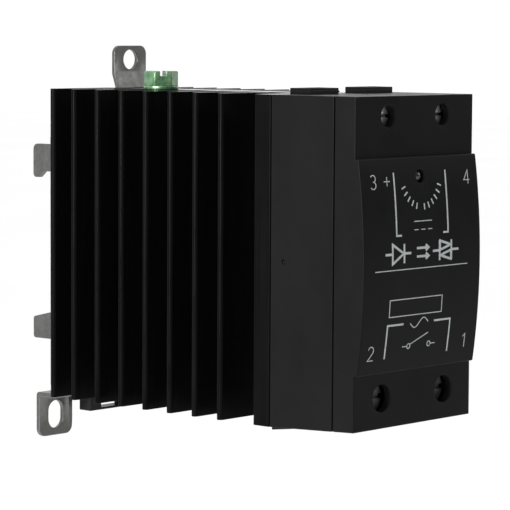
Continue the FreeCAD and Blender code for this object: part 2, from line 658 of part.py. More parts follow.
def front_cover():
    """Front cover with a crowned centre panel, screw openings and a lamp opening."""
    inside = HALF_WIDTH - WALL
    back = HOUSING_DEPTH + SEAM_GAP
    sides = (-HALF_WIDTH, HALF_WIDTH)
    outer = body_prism((back, COVER_FRONT))
    nose = crowned_prism(back, NOSE_BOTTOM, NOSE_TOP, COVER_FRONT + NOSE_STEP, NOSE_CROWN, sides)
    room = (FLOOR_HEIGHT, SINK_HEIGHT - WALL)
    hollow = module_block((-inside, inside), (back - FIT, COVER_FRONT - FRONT_WALL), room)
    nose_hollow = crowned_prism(
        back, NOSE_BOTTOM + FRONT_WALL, NOSE_TOP - FRONT_WALL,
        COVER_FRONT + NOSE_STEP - FRONT_WALL, NOSE_CROWN, (-inside, inside),
    )
    shell = without(joined([outer, nose]), [hollow, nose_hollow])
    pieces = [shell]
    for side in (-1, 1):
        inner_x = side * (inside - LIP_GAP - LIP)
        pieces.append(module_block((inner_x, side * inside), (back, back + LIP_ROOT), LIP_HEIGHTS))
        pieces.append(module_block((inner_x, side * (inside - LIP_GAP)), (DECK_BACK, back), LIP_HEIGHTS))
    body = joined(pieces)
    through = (back, COVER_FRONT + NOSE_STEP + NOSE_CROWN + FIT)
    cuts = [module_rod(LED_RADIUS + FIT, 0, LED_HEIGHT, through)]
    for kind, side in TERMINALS.values():
        cuts.append(module_rod(kind["access"], side * kind["x"], kind["height"], through))
    return without(body, cuts)


# ---------------------------------------------------------------- terminals
def terminal_screw(kind, side):
    """Captive clamp screw with a slot and a cross recess in its head."""
    x, height = side * kind["x"], kind["height"]
    tip = kind["bar_back"] + kind["bar_thickness"] + FIT
    shank = module_rod(kind["shank"], x, height, (tip, kind["head_back"]))
    head = module_rod(kind["head"], x, height, (kind["head_back"], kind["head_front"]))
    half_slot = kind["slot"] / 2
    long_half, short_half = kind["head"] + FIT, kind["head"] * CROSS_SHARE
    depths = (kind["head_front"] - SCREW_SLOT_DEPTH, kind["head_front"] + FIT)
    slot = module_block((x - long_half, x + long_half), depths, (height - half_slot, height + half_slot))
    cross = module_block((x - half_slot, x + half_slot), depths, (height - short_half, height + short_half))
    return without(joined([shank, head]), [slot, cross])


def clamp_cage(kind, side):
    """Box clamp: a square loop round the busbar, pulled forward by the screw."""
    x, half = side * kind["x"], kind["cage_width"] / 2
    heights = (kind["cage_low"], kind["cage_high"])
    front = kind["nut_back"] + kind["nut_thickness"]
    outer = module_block((x - half, x + half), (kind["cage_back"], front), heights)
    inner = half - kind["cage_wall"]
    gap = (kind["cage_back"] + kind["cage_back_wall"], kind["nut_back"])
    hollow = module_block((x - inner, x + inner), gap, (heights[0] - FIT, heights[1] + FIT))
    thread_depths = (kind["nut_back"] - THREAD_BACK, front + FIT)
    thread = module_rod(kind["shank"] + RUNNING, x, kind["height"], thread_depths)
    return without(outer, [hollow, thread])


def busbar(kind, side):
    """Copper strip from the clamp, through the partition, to the circuit inside."""
    x, half = side * kind["x"], kind["bar_width"] / 2
    span = (x - half, x + half)
    depths = (kind["bar_back"], kind["bar_back"] + kind["bar_thickness"])
    end = kind["bar_end"]
    if kind is OUTPUT:
        strip_heights = (kind["cage_low"] + BAR_END_GAP, end)
        foot_depths = (PAD_THICKNESS + BASE_THICKNESS + SUBSTRATE_THICKNESS, depths[1])
        foot_heights = (end - kind["bar_thickness"], end)
    else:
        strip_heights = (end, kind["cage_high"] - BAR_END_GAP)
        foot_depths = (depths[0], BOARD_BACK)
        foot_heights = (end, end + kind["bar_thickness"])
    return joined([module_block(span, depths, strip_heights), module_block(span, foot_depths, foot_heights)])


def terminal_insulator(kind, thickness):
    """Plastic plate between one row of clamps and the heat sink."""
    inside = HALF_WIDTH - WALL - FIT
    low, high = chamber_heights(kind)
    return module_block((-inside, inside), (0, thickness), (low + FIT, high - FIT))


# ---------------------------------------------------------------- power stage and electronics
def thermal_pad():
    """Soft heat-conducting sheet between the heat sink and the base plate."""
    sheet = module_block((-BASE_HALF_WIDTH, BASE_HALF_WIDTH), (0, PAD_THICKNESS), (BASE_BOTTOM, BASE_TOP))
    through = (-FIT, PAD_THICKNESS + FIT)
    return without(sheet, [module_rod(PAD_HOLE_RADIUS, 0, h, through) for h in MODULE_SCREW_HEIGHTS])


def base_plate():
    depths = (PAD_THICKNESS, PAD_THICKNESS + BASE_THICKNESS)
    plate = module_block((-BASE_HALF_WIDTH, BASE_HALF_WIDTH), depths, (BASE_BOTTOM, BASE_TOP))
    through = (depths[0] - FIT, depths[1] + FIT)
    return without(plate, [module_rod(BASE_HOLE_RADIUS, 0, h, through) for h in MODULE_SCREW_HEIGHTS])


def module_screws():
    """Screws that clamp the power stage to the heat sink's plate."""
    seat = PAD_THICKNESS + BASE_THICKNESS
    screws = []
    for height in MODULE_SCREW_HEIGHTS:
        shank = module_rod(MODULE_SCREW_RADIUS, 0, height, (-MODULE_SCREW_DEPTH, seat))
        top = seat + MODULE_HEAD
        head = module_rod(MODULE_HEAD_RADIUS, 0, height, (seat, top))
        half = MODULE_HEAD_SLOT / 2
        reach = MODULE_HEAD_RADIUS + FIT
        slot_depths = (top - MODULE_HEAD_SLOT, top + FIT)
        slot = module_block((-reach, reach), slot_depths, (height - half, height + half))
        screws.append(without(joined([shank, head]), [slot]))
    return Part.makeCompound(screws)


def ceramic_substrate():
    back = PAD_THICKNESS + BASE_THICKNESS
    span = (-SUBSTRATE_HALF_WIDTH, SUBSTRATE_HALF_WIDTH)
    return module_block(span, (back, back + SUBSTRATE_THICKNESS), SUBSTRATE_HEIGHTS)


def thyristor_dies():
    """Two power chips soldered to the ceramic."""
    back = PAD_THICKNESS + BASE_THICKNESS + SUBSTRATE_THICKNESS
    half = DIE_SIZE / 2
    dies = []
    for side in (-1, 1):
        span = (side * DIE_X - half, side * DIE_X + half)
        dies.append(module_block(span, (back, back + DIE_THICKNESS), (DIE_BOTTOM, DIE_BOTTOM + DIE_SIZE)))
    return Part.makeCompound(dies)


def circuit_board():
    heights = (BASE_BOTTOM + BOARD_MARGIN, BASE_TOP - BOARD_MARGIN)
    return module_block((-BOARD_HALF_WIDTH, BOARD_HALF_WIDTH), (BOARD_BACK, BOARD_FACE), heights)


def optocoupler():
    """Six-pin optical coupler on the board."""
    left, right = COUPLER_SPAN
    back = BOARD_FACE + COUPLER_STAND
    heights = (COUPLER_BOTTOM, COUPLER_BOTTOM + COUPLER_LENGTH)
    body = module_block(COUPLER_SPAN, (back, back + COUPLER_THICKNESS), heights)
    pins = []
    for row in range(PIN_ROWS):
        low = FIRST_PIN + PIN_PITCH * row
        for pin_x in ((left - PIN_REACH, left), (right, right + PIN_REACH)):
            pins.append(module_block(pin_x, (BOARD_FACE, BOARD_FACE + PIN_TOP), (low, low + PIN_WIDTH)))
    return joined([body] + pins)


def snubber_capacitor():
    return module_block(CAPACITOR_SPAN, (BOARD_FACE, BOARD_FACE + CAPACITOR_THICKNESS), CAPACITOR_HEIGHTS)


def resistors():
    """Three axial resistors lying on the board."""
    bodies = []
    for height in RESISTOR_HEIGHTS:
        start = Vector(RESISTOR_X, ahead(BOARD_FACE + RESISTOR_RADIUS), level(height))
        bodies.append(Part.makeCylinder(RESISTOR_RADIUS, RESISTOR_LENGTH, start, Vector(1, 0, 0)))
    return Part.makeCompound(bodies)


def status_led():
    """Round-nosed lamp that looks out through the cover."""
    barrel = module_rod(LED_RADIUS, 0, LED_HEIGHT, (LED_BACK, LED_DOME))
    dome = Part.makeSphere(LED_RADIUS, Vector(0, ahead(LED_DOME), level(LED_HEIGHT)))
    flange = module_rod(LED_RADIUS + LED_FLANGE_RIM, 0, LED_HEIGHT, (LED_BACK, LED_BACK + LED_FLANGE))
    return joined([barrel, dome, flange])


def led_leads():
    heights = (LED_HEIGHT - LEAD_HALF, LED_HEIGHT + LEAD_HALF)
    leads = []
    for x in (-LEAD_X, LEAD_X):
        leads.append(module_block((x - LEAD_HALF, x + LEAD_HALF), (BOARD_FACE, LED_BACK), heights))
    return Part.makeCompound(leads)


def all_parts():
    parts = {
        "heat_sink": heat_sink(),
        "mounting_bracket": mounting_bracket(),
        "bracket_screws": bracket_screws(),
        "din_latch": din_latch(),
        "latch_spring": latch_spring(),
        "ground_screw": ground_screw(),
        "ground_washer": ground_washer(),
        "relay_housing": relay_housing(),
        "front_cover": front_cover(),
        "input_insulator": terminal_insulator(INPUT, INPUT_INSULATOR),
        "output_insulator": terminal_insulator(OUTPUT, OUTPUT_INSULATOR),
        "thermal_pad": thermal_pad(),
        "base_plate": base_plate(),
        "module_screws": module_screws(),
        "ceramic_substrate": ceramic_substrate(),
        "thyristor_dies": thyristor_dies(),
        "circuit_board": circuit_board(),
        "optocoupler": optocoupler(),
        "snubber_capacitor": snubber_capacitor(),
        "resistors": resistors(),
        "status_led": status_led(),
        "led_leads": led_leads(),
    }
    for number, (kind, side) in TERMINALS.items():
        parts[f"terminal_screw_{number}"] = terminal_screw(kind, side)
        parts[f"clamp_cage_{number}"] = clamp_cage(kind, side)
        parts[f"busbar_{number}"] = busbar(kind, side)
    return parts


os.makedirs("parts", exist_ok=True)
for name, shape in all_parts().items():
    shape.exportStep(f"parts/{name}.step")
    print(name, shape.isValid(), len(shape.Solids), round(shape.Volume, 1))
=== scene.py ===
import json
import math

import bmesh
import bpy
from mathutils import Matrix, Vector


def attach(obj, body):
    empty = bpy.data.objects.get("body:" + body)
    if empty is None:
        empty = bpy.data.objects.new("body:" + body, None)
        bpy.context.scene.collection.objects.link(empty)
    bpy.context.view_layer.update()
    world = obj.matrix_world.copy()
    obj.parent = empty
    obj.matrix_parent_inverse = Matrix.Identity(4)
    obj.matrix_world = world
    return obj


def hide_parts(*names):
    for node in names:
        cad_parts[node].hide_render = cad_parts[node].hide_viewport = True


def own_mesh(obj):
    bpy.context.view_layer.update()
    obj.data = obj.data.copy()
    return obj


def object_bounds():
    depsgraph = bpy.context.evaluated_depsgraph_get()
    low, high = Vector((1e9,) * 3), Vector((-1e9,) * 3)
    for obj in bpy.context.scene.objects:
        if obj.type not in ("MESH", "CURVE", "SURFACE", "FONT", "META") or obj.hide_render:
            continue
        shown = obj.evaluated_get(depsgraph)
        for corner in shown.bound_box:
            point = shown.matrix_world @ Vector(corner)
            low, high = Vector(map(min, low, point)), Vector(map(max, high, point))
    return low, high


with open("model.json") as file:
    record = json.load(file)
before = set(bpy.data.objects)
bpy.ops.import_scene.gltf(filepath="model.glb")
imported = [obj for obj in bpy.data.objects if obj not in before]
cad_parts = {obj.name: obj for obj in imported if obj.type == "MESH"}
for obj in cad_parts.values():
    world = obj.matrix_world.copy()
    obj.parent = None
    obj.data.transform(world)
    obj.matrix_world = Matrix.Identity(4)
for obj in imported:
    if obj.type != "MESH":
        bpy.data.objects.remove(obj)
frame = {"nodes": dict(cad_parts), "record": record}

# Looks of a solid state relay on its heat sink, in the CAD frame: X to the right seen from the
# front, Y to the back, Z up. The scene is in metres. The lengths named below are in mm and are
# multiplied by MM where they are used, except where a comment says metres.

MM = 0.001
CAD_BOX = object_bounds()
NODES = frame["nodes"]
SLOTS = {entry["node"]: entry["material_slot"] for entry in frame["record"]["subparts"]}
BODIES = frame["record"]["behaviour"]["bodies"]
TERMINAL_SCREWS = [f"terminal_screw_{number}" for number in (1, 2, 3, 4)]
CLAMP_CAGES = [f"clamp_cage_{number}" for number in (1, 2, 3, 4)]

SINK_CORNERS = [Vector(corner) / MM for corner in NODES["heat_sink"].bound_box]
SINK_BOTTOM = min(corner.z for corner in SINK_CORNERS)
SINK_FRONT = min(corner.y for corner in SINK_CORNERS)
SINK_BACK = max(corner.y for corner in SINK_CORNERS)

# ------------------------------------------------------------------ camera
CAMERA_AZIMUTH = -48.4         # degrees, from straight in front towards the left
CAMERA_ELEVATION = 4.86        # degrees
CAMERA_ROLL = 0.31             # degrees
CAMERA_DISTANCE = 0.6725       # metres
CAMERA_LENS = 188.1            # mm on a 36 mm wide sensor
CAMERA_NEAR = 0.01             # metres
CAMERA_FAR = 60.0              # metres
AIM_OFFSET = Vector((0.5, -1.95, -1.0)) * MM   # from the middle of the CAD box

# ------------------------------------------------------------------ light and floor
WHITE_WALL = Vector((0.35, 0.93, -0.02))   # towards the bright backdrop
WALL_START, WALL_FULL = -0.35, 0.75        # cosines of the angle from the backdrop's middle
WALL_LIGHT = 1.02
ROOM_LIGHT = 0.14
OVERHEAD_START, OVERHEAD_FULL = 0.12, 0.6  # sines of the angle above the horizon
OVERHEAD_LIGHT = 0.35
CEILING_LIGHT = 0.92                       # W/m2
CEILING_SPREAD = 25                        # degrees
AREA_LIGHTS = {     # direction from the relay, distance and width in metres, power in W
    "key": ((-1.0, -0.06, 0.2), 0.8, 0.4, 11.5),
    "fill": ((0.75, -0.57, 0.38), 0.9, 0.35, 1.1),
}
FLOOR_RADIUS = 12.0            # metres
FLOOR_LEVEL = -0.35            # metres
FLOOR_SIDES = 96

# ------------------------------------------------------------------ rounded edges
ROUNDINGS = {
    "heat_sink": 0.12,
    "relay_housing": 0.22,
    "front_cover": 0.3,
    "mounting_bracket": 0.16,
    "din_latch": 0.25,
    "ground_screw": 0.15,
    "ground_washer": 0.12,
    "bracket_screws": 0.12,
    **dict.fromkeys(TERMINAL_SCREWS, 0.1),
    **dict.fromkeys(CLAMP_CAGES, 0.12),
    "status_led": 0.1,
}
ROUNDING_STEPS = 3
WELD_GAP = 0.001               # corners closer than this are one
FLAT_ANGLE = 0.4               # degrees, at most, between facets of one flat face
SHARP_ANGLE = 32               # degrees, at least, between faces whose edge is rounded
ROOM_NEEDED = 2.2              # least width of face beside a rounded edge, in radii of the rounding
FAR_AWAY = 1.0                 # metres, further than any face reaches
END_SLACK = 1e-6               # metres, for rounding errors
DEPTH_SLACK = 1e-9             # metres, for rounding errors
FLAT_FACE_WEIGHT = 80          # of 100, how strongly wide faces set the smooth normals

# ------------------------------------------------------------------ printing on the cover
# The cover's crowned panel: an arc through its two edges and its middle, as in the CAD. Heights are
# above the bottom of the heat sink, and depths are in front of it.
NOSE_MIDDLE = 40.0             # height
NOSE_HALF = 25.5
NOSE_EDGE = 27.25              # depth
NOSE_CROWN = 1.9
NOSE_RADIUS = (NOSE_HALF ** 2 + NOSE_CROWN ** 2) / (2 * NOSE_CROWN)
PANEL_SET_BACK = 0.05          # so that the ink stays within the CAD surface
PANEL_MARGIN = 0.06            # what lies this little behind the panel's edges moves with it
INK_LIFT = 0.035               # what the ink stands above the panel
INK_ROOT = 0.06                # what the ink reaches below the panel
INK_STEP = 1.2                 # longest straight piece of a line on the crown
CLOSED_GAP = 1e-6              # a stroke whose ends are this close is a closed one
MITRE_LIMIT = 0.45             # a corner widens its line to half the width over this, at most
FINE_LINE, TICK_LINE, BRACKET_LINE, DIAGRAM_LINE = 0.22, 0.38, 0.46, 0.58

DIGIT_PLACES = {3: (-17.9, 60), 4: (17.9, 60), 2: (-18.3, 19.7), 1: (17.7, 20)}
PLUS_PLACE = (-12.9, 60)
DIAGRAM_HEIGHT = 42.8
LAMP_HEIGHT = 60.8
TICK_ROWS = ((200, 5), (276, 6))   # angle of the first tick in degrees, number of ticks
TICK_ANGLE = 13.2              # degrees from one tick to the next
TICK_ENDS = (6.5, 8.0)         # distances from the middle of the lamp

# ------------------------------------------------------------------ spring
SPRING_TURNS = 7
SPRING_RADIUS = 1.55           # to the middle of the wire
WIRE_RADIUS = 0.25
SPRING_FOOT = 3.0              # heights of its ends
SPRING_HEAD = 14.0
SPRING_DEPTH = 3.9             # of its axis, behind the heat sink
STEPS_PER_TURN = 40
WIRE_SIDES = 10


# ================================================================== materials
def map_range(tree, source, start, end, low=0.0, high=1.0, smooth=False):
    """Output that goes from low to high while the source goes from start to end."""
    node = tree.nodes.new("ShaderNodeMapRange")
    node.interpolation_type = "SMOOTHSTEP" if smooth else "LINEAR"
    node.inputs["From Min"].default_value = start
    node.inputs["From Max"].default_value = end
    node.inputs["To Min"].default_value = low
    node.inputs["To Max"].default_value = high
    tree.links.new(source, node.inputs["Value"])
    return node.outputs["Result"]


def arithmetic(tree, operation, one, two):
    """Output of an operation on two other outputs."""
    node = tree.nodes.new("ShaderNodeMath")
    node.operation = operation
    tree.links.new(one, node.inputs[0])
    tree.links.new(two, node.inputs[1])
    return node.outputs["Value"]


class Shader:
    """One procedural material, with short calls for the nodes that it needs."""

    def __init__(self, name):
        self.material = bpy.data.materials.new(name)
        self.material.use_nodes = True
        self.tree = self.material.node_tree
        self.surface = self.tree.nodes["Principled BSDF"]
        self.coordinates = self.tree.nodes.new("ShaderNodeTexCoord").outputs

    def fixed(self, **values):
        """Sets sockets of the surface that are the same all over."""
        for label, value in values.items():
            self.surface.inputs[label.replace("_", " ")].default_value = value
        return self

    def noise(self, scale, stretch=(1, 1, 1), turn=(0, 0, 0), detail=3.0, roughness=0.5):
        """Noise in object space; scale is in features per metre, turn in radians."""
        mapping = self.tree.nodes.new("ShaderNodeMapping")
        mapping.inputs["Rotation"].default_value = turn
        mapping.inputs["Scale"].default_value = stretch
        self.tree.links.new(self.coordinates["Object"], mapping.inputs["Vector"])
        noise = self.tree.nodes.new("ShaderNodeTexNoise")
        noise.inputs["Scale"].default_value = scale
        noise.inputs["Detail"].default_value = detail
        noise.inputs["Roughness"].default_value = roughness
        self.tree.links.new(mapping.outputs["Vector"], noise.inputs["Vector"])
        return noise.outputs["Fac"]

    def cells(self, scale):
        """A shade of its own for each of many small cells, as for crystals."""
        voronoi = self.tree.nodes.new("ShaderNodeTexVoronoi")
        voronoi.inputs["Scale"].default_value = scale
        self.tree.links.new(self.coordinates["Object"], voronoi.inputs["Vector"])
        return voronoi.outputs["Color"]

    def scuffs(self):
        """Sparse fine scratches, as handling leaves them: zero almost everywhere."""
        noise = self.noise(1900, stretch=(1, 0.03, 1), turn=(0.5, 0.8, 0.35), detail=1.0)
        return map_range(self.tree, noise, start=0.66, end=0.74)

    def sawn_ends(self, factor):
        """Keeps a factor on upright faces and lowers it on level ones, where the saw went."""
        normal = self.tree.nodes.new("ShaderNodeSeparateXYZ")
        self.tree.links.new(self.coordinates["Normal"], normal.inputs["Vector"])
        level = arithmetic(self.tree, "MULTIPLY", normal.outputs["Z"], normal.outputs["Z"])
        fade = map_range(self.tree, level, start=0.6, end=0.95, low=1.0, high=0.3)
        return arithmetic(self.tree, "MULTIPLY", factor, fade)

    def colours(self, factor, low, high, start=0.3, end=0.7):
        """Base colour that goes between two tones while the factor goes from start to end."""
        ramp = self.tree.nodes.new("ShaderNodeValToRGB")
        first, last = ramp.color_ramp.elements
        first.position = start
        first.color = (*low, 1)
        last.position = end
        last.color = (*high, 1)
        self.tree.links.new(factor, ramp.inputs["Fac"])
        self.tree.links.new(ramp.outputs["Color"], self.surface.inputs["Base Color"])
        return self

    def roughness(self, factor, low, high):
        """Roughness that goes from low to high over the middle half of the factor's range."""
        spread = map_range(self.tree, factor, start=0.25, end=0.75, low=low, high=high)
        self.tree.links.new(spread, self.surface.inputs["Roughness"])
        return self

    def bump(self, factor, height, strength=1.0):
        """Surface relief of a real height in metres, on top of any earlier one."""
        node = self.tree.nodes.new("ShaderNodeBump")
        node.inputs["Strength"].default_value = strength
        node.inputs["Distance"].default_value = height
        earlier = self.surface.inputs["Normal"].links
        if earlier:
            self.tree.links.new(earlier[0].from_socket, node.inputs["Normal"])
        self.tree.links.new(factor, node.inputs["Height"])
        self.tree.links.new(node.outputs["Normal"], self.surface.inputs["Normal"])
        return self


def moulded_plastic(name, tone, gloss):
    """Spark-textured moulding: fine grain, faint flow variation, a little sheen."""
    shader = Shader(name).fixed(Specular_IOR_Level=0.045)
    dark = tuple(channel * 0.82 for channel in tone)
    pale = tuple(channel * 1.18 for channel in tone)
    shader.colours(shader.noise(60, stretch=(1, 1, 0.4)), low=dark, high=pale)
    shader.roughness(shader.noise(220), low=gloss - 0.06, high=gloss + 0.06)
    return shader.bump(shader.noise(5200, detail=2.0), height=0.012 * MM, strength=0.5).material


def anodised(name):
    """Black anodised extrusion: long die lines up the height, satin gloss, smoother sawn ends."""
    shader = Shader(name).fixed(Specular_IOR_Level=0.03)
    streaks = shader.noise(2600, stretch=(1, 1, 0.012), detail=4.0, roughness=0.6)
    shader.colours(streaks, low=(0.0012, 0.0012, 0.0013), high=(0.003, 0.003, 0.0032))
    shader.roughness(shader.sawn_ends(shader.noise(90)), low=0.1, high=0.5)
    shader.bump(streaks, height=0.02 * MM, strength=0.35)
    shader.bump(shader.scuffs(), height=0.01 * MM, strength=0.4)
    return shader.bump(shader.noise(7000, detail=1.0), height=0.006 * MM, strength=0.4).material


def zinc(name):
    """Zinc-plated sheet: grey with faint crystals and handling marks."""
    shader = Shader(name).fixed(Metallic=1.0)
    dark, pale = (0.108, 0.11, 0.105), (0.135, 0.137, 0.132)
    shader.colours(shader.cells(2200), low=dark, high=pale, start=0.1, end=0.9)
    shader.roughness(shader.noise(400), low=0.34, high=0.5)
    shader.bump(shader.noise(1500, stretch=(1, 1, 0.2)), height=0.01 * MM, strength=0.4)
    return shader.bump(shader.scuffs(), height=0.012 * MM, strength=0.5).material


def turned_steel(name, tone, smoothest, roughest):
    """Bright machined or drawn metal with fine tool marks."""
    shader = Shader(name).fixed(Metallic=1.0)
    marks = shader.noise(5200, stretch=(1, 0.25, 1), detail=2.0)
    shader.colours(marks, low=tuple(channel * 0.85 for channel in tone), high=tone)
    shader.roughness(shader.noise(900), low=smoothest, high=roughest)
    return shader.bump(marks, height=0.006 * MM, strength=0.5).material


def green_passivate(name):
    """Green dyed screw: metal shining through a thin coloured film, paler in places."""
    shader = Shader(name).fixed(Metallic=0.65, Coat_Weight=0.5, Coat_Roughness=0.15)
    shader.colours(shader.noise(650), low=(0.04, 0.145, 0.06), high=(0.19, 0.34, 0.18))
    shader.roughness(shader.noise(1200), low=0.22, high=0.4)
    return shader.bump(shader.noise(2500), height=0.01 * MM, strength=0.5).material


def ink(name):
    """Pad-printed pale ink, thinner in places."""
    shader = Shader(name).fixed(Roughness=0.55, Specular_IOR_Level=0.3)
    return shader.colours(shader.noise(1500), low=(0.28, 0.3, 0.305), high=(0.4, 0.42, 0.425)).material


def lamp_epoxy(name):
    """Unlit lamp: dark tinted epoxy, glossy."""
    shader = Shader(name).fixed(Transmission_Weight=0.25, IOR=1.52, Coat_Weight=0.3)
    shader.colours(shader.noise(300), low=(0.014, 0.012, 0.012), high=(0.024, 0.021, 0.021))
    return shader.roughness(shader.noise(500), low=0.2, high=0.3).material


def fine_grained(name, dark, pale, rough):
    """Plain inner parts: two close tones, fine relief."""
    shader = Shader(name)
    shader.colours(shader.noise(360), low=dark, high=pale)
    shader.roughness(shader.noise(180), low=rough - 0.08, high=rough + 0.08)
    return shader.bump(shader.noise(1800), height=0.01 * MM, strength=0.4).material


def make_materials():
    """One material for each slot of the record."""
    return {
        "black_plastic": moulded_plastic("black plastic", (0.0056, 0.0056, 0.0059), gloss=0.34),
        "latch_plastic": moulded_plastic("latch plastic", (0.013, 0.013, 0.014), gloss=0.3),
        "anodised_black": anodised("black anodising"),
        "zinc_steel": zinc("zinc plate"),
        "bright_steel": turned_steel("screw steel", (0.5, 0.49, 0.465), 0.18, 0.3),
        "spring_steel": turned_steel("spring wire", (0.4, 0.4, 0.4), 0.25, 0.35),
        "tinned_wire": turned_steel("tinned wire", (0.5, 0.5, 0.5), 0.25, 0.35),
        "busbar_brass": turned_steel("tinned busbar", (0.45, 0.42, 0.36), 0.28, 0.4),
        "plain_aluminium": turned_steel("milled aluminium", (0.6, 0.6, 0.61), 0.3, 0.42),
        "green_steel": green_passivate("green passivate"),
        "led_epoxy": lamp_epoxy("lamp epoxy"),
        "insulator_plastic": fine_grained("insulator", (0.5, 0.49, 0.45), (0.56, 0.55, 0.5), 0.5),
        "silicone": fine_grained("silicone pad", (0.3, 0.32, 0.34), (0.36, 0.38, 0.4), 0.7),
        "white_ceramic": fine_grained("ceramic", (0.75, 0.75, 0.73), (0.82, 0.82, 0.8), 0.35),
        "silicon": fine_grained("silicon", (0.05, 0.05, 0.06), (0.08, 0.08, 0.1), 0.2),
        "board_laminate": fine_grained("solder mask", (0.01, 0.09, 0.03), (0.015, 0.12, 0.04), 0.35),
        "chip_plastic": fine_grained("chip body", (0.012, 0.012, 0.012), (0.02, 0.02, 0.02), 0.6),
        "capacitor_case": fine_grained("capacitor case", (0.03, 0.06, 0.25), (0.04, 0.08, 0.3), 0.35),
        "resistor_coat": fine_grained("resistor lacquer", (0.2, 0.35, 0.42), (0.25, 0.4, 0.48), 0.35),
    }


def paint(piece, material):
    """Gives a piece one material all over."""
    piece.data.materials.clear()
    piece.data.materials.append(material)


# ================================================================== meshes
def body_holding(node):
    """Name of the moving body that a node belongs to."""
    for body, members in BODIES.items():
        if node in members:
            return body
    raise ValueError(node)


def add_piece(name, mesh, slot, body):
    """A finished piece in the scene, with its material, riding on its body."""
    piece = bpy.data.objects.new(name, mesh)
    bpy.context.scene.collection.objects.link(piece)
    paint(piece, MATERIALS[slot])
    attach(piece, body)
    return piece


def clean_copy(node):
    """The node's shape as a mesh of whole flat faces, ready for rounding."""
    mesh = NODES[node].data.copy()
    shape = bmesh.new()
    shape.from_mesh(mesh)
    bmesh.ops.remove_doubles(shape, verts=shape.verts, dist=WELD_GAP * MM)
    bmesh.ops.dissolve_limit(
        shape,
        angle_limit=math.radians(FLAT_ANGLE),
        verts=shape.verts,
        edges=shape.edges,
        use_dissolve_boundaries=False,
    )
    shape.to_mesh(mesh)
    shape.free()
    if mesh.has_custom_normals:
        mesh.normals_split_custom_set([(0, 0, 0)] * len(mesh.loops))
    mesh.shade_smooth()
    return mesh


def room_beside(edge, face):
    """How far the face reaches from the edge before another side of it, at the least."""
    start = edge.verts[0].co
    along = (edge.verts[1].co - start).normalized()
    inward = face.normal.cross(along).normalized()
    if (face.calc_center_median() - start).dot(inward) < 0:
        inward = -inward
    nearest = FAR_AWAY
    for corner in face.verts:
        if corner in edge.verts:
            continue
        offset = corner.co - start
        depth, place = offset.dot(inward), offset.dot(along)
        beside = -END_SLACK < place < edge.calc_length() + END_SLACK
        if beside and depth > -DEPTH_SLACK:
            nearest = min(nearest, depth)
    return nearest


def mark_edges_with_room(mesh, radius):
    """Gives a bevel weight to the outer sharp edges whose two faces are wide enough."""
    shape = bmesh.new()
    shape.from_mesh(mesh)
    weight = shape.edges.layers.float.new("bevel_weight_edge")
    for edge in shape.edges:
        if len(edge.link_faces) != 2 or edge.calc_face_angle_signed(0) < math.radians(SHARP_ANGLE):
            continue
        if min(room_beside(edge, face) for face in edge.link_faces) > ROOM_NEEDED * radius:
            edge[weight] = 1.0
    shape.to_mesh(mesh)
    shape.free()


def rounded_piece(node, radius):
    """Replaces a CAD node by the same shape with its sharp edges rounded."""
    mesh = clean_copy(node)
    mark_edges_with_room(mesh, radius)
    piece = add_piece(f"{node}_shape", mesh, SLOTS[node], body_holding(node))
    bevel = piece.modifiers.new("rounding", "BEVEL")
    bevel.width = radius
    bevel.segments = ROUNDING_STEPS
    bevel.limit_method = "WEIGHT"
    bevel.use_clamp_overlap = False
    bevel.harden_normals = False
    normals = piece.modifiers.new("flat faces", "WEIGHTED_NORMAL")
    normals.keep_sharp = False
    normals.weight = FLAT_FACE_WEIGHT
    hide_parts(node)
    return piece


def skin(shape, rows):
    """Closes a tube through rows of corners, with a flat face at each end."""
    sides = len(rows[0])
    for one, two in zip(rows, rows[1:]):
        for side in range(sides):
            after = (side + 1) % sides
            shape.faces.new((one[side], one[after], two[after], two[side]))
    shape.faces.new(rows[0][::-1])
    shape.faces.new(rows[-1])


def mesh_from(shape, name):
    """Turns a finished shape into a mesh whose faces look outwards."""
    bmesh.ops.recalc_face_normals(shape, faces=shape.faces)
    mesh = bpy.data.meshes.new(name)
    shape.to_mesh(mesh)
    shape.free()
    return mesh


# ================================================================== printing
# A stroke is a list of (x, height) points, and a sign is a list of strokes.
def arc(centre, radius, start, end, steps=10, squeeze=1.0):
    """Points of a circle's arc, in degrees anticlockwise from the right."""
    points = []
    for step in range(steps + 1):
        angle = math.radians(start + (end - start) * step / steps)
        x = centre[0] + radius * squeeze * math.cos(angle)
        points.append((x, centre[1] + radius * math.sin(angle)))
    return points


def placed(strokes, x, height):
    """The same strokes with their origin at another place."""
    return [[(x + px, height + py) for px, py in stroke] for stroke in strokes]


def digit_strokes():
    """The terminals' four digits, each round its own middle."""
    half, wide = 1.65, 1.0
    return {
        1: [[(-0.75, 1.0), (0.15, half), (0.15, -half)]],
        2: [arc((0, 0.7), 0.95, 165, -35) + [(-wide, -half), (wide, -half)]],
        3: [
            arc((-0.1, 0.82), 0.83, 150, -90, squeeze=1.1),
            arc((-0.1, -0.8), 0.85, 90, -150, squeeze=1.15),
        ],
        4: [[(0.55, -half), (0.55, half), (-1.1, -0.7), (1.1, -0.7)]],
    }


def terminal_numbers():
    """A digit at each terminal, and a plus beside the third."""
    digits = digit_strokes()
    strokes = []
    for digit, (x, height) in DIGIT_PLACES.items():
        strokes += placed(digits[digit], x, height)
    arm = 1.1
    plus = [[(-arm, 0), (arm, 0)], [(0, -arm), (0, arm)]]
    return strokes + placed(plus, *PLUS_PLACE)


def lamp_ticks():
    """Two rows of radial ticks round the lower side of the lamp."""
    strokes = []
    for first, count in TICK_ROWS:
        for index in range(count):
            angle = math.radians(first + TICK_ANGLE * index)
            across, up = math.cos(angle), math.sin(angle)
            strokes.append([(end * across, LAMP_HEIGHT + end * up) for end in TICK_ENDS])
    return strokes


